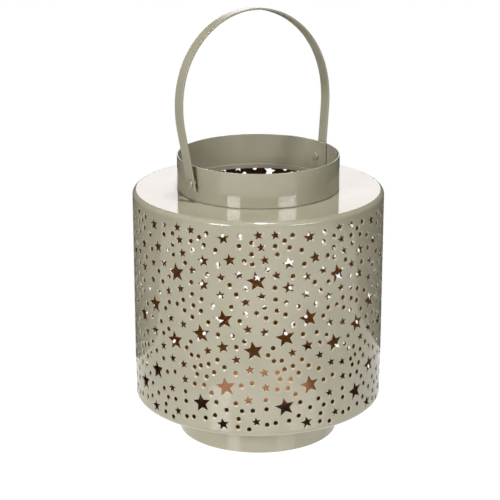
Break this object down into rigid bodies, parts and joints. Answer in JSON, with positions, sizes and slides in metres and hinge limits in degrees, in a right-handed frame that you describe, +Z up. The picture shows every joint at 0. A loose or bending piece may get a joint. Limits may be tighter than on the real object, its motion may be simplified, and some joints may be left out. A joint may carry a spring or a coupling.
{
  "type": "candle lantern",
  "caption": "Round sheet-metal candle lantern, its wall punched with stars and dots, with a flat shoulder, open neck collar, ring foot and a riveted swinging strap handle.",
  "frame": {"origin": "on the body's axis, on the plane that the foot ring stands on", "axes": "+Z up along the body's axis; the handle turns about a line along X; +Y points to the wall's lap seam"},
  "size_m": [0.18, 0.18, 0.3096],
  "materials": {
    "punched_sheet": "glossy sage-grey lacquer outside, copper-bronze lacquer inside",
    "lacquered_sheet": "glossy sage-grey lacquer",
    "lined_floor": "glossy sage-grey lacquer below, copper-bronze lacquer above",
    "lacquered_strap": "satin sage-grey lacquer",
    "lacquered_rivet": "glossy sage-grey lacquer over steel"
  },
  "bodies": {
    "lantern_body": {"body_wall": "punched_sheet", "shoulder_cap": "lacquered_sheet", "neck_collar": "lacquered_sheet", "floor_pan": "lined_floor", "foot_ring": "lacquered_sheet", "rivet_left": "lacquered_rivet", "rivet_right": "lacquered_rivet", "washer_left": "lacquered_rivet", "washer_right": "lacquered_rivet"},
    "handle": {"strap_handle": "lacquered_strap"}
  },
  "joints": [
    {"name": "handle_swing", "type": "hinge", "parent": "lantern_body", "child": "handle", "pos_m": [0, 0, 0.195], "axis": [1, 0, 0], "range_deg": [-93.6, 101.6]}
  ]
}
